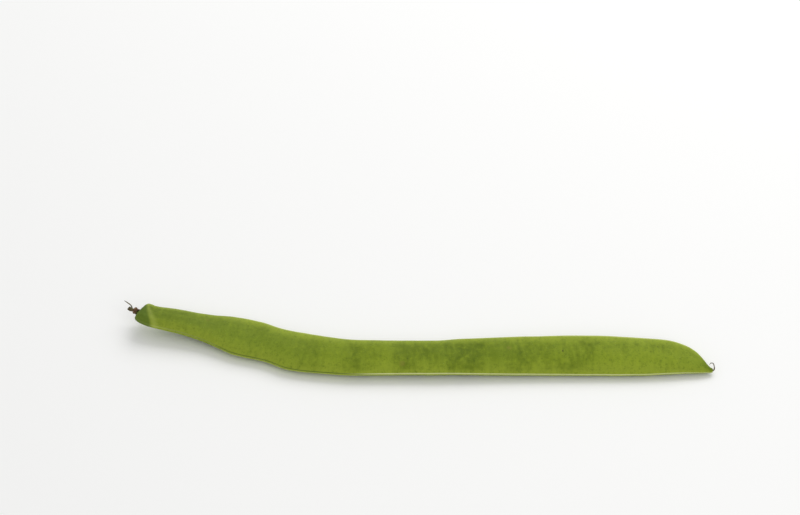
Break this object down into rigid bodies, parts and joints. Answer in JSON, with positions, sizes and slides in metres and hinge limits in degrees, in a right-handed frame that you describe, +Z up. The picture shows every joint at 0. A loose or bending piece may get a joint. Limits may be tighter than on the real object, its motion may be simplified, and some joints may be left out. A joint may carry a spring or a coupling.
{
  "type": "green bean",
  "caption": "Flat green bean pod as picked, lying on its broad side, with a dry calyx, stalk stub and curled style thread.",
  "frame": {"origin": "middle of the bean's bounding box, on the surface it lies on", "axes": "+X from the stem end to the tip, +Y towards the far edge, +Z up through the broad faces"},
  "size_m": [0.2568, 0.0404, 0.0114],
  "materials": {
    "pod_skin": "matte",
    "dry_calyx": "matte",
    "dry_stalk": "matte",
    "dry_style": "matte"
  },
  "bodies": {
    "root": {"pod": "pod_skin", "calyx": "dry_calyx", "stalk": "dry_stalk", "style": "dry_style"}
  },
  "joints": []
}
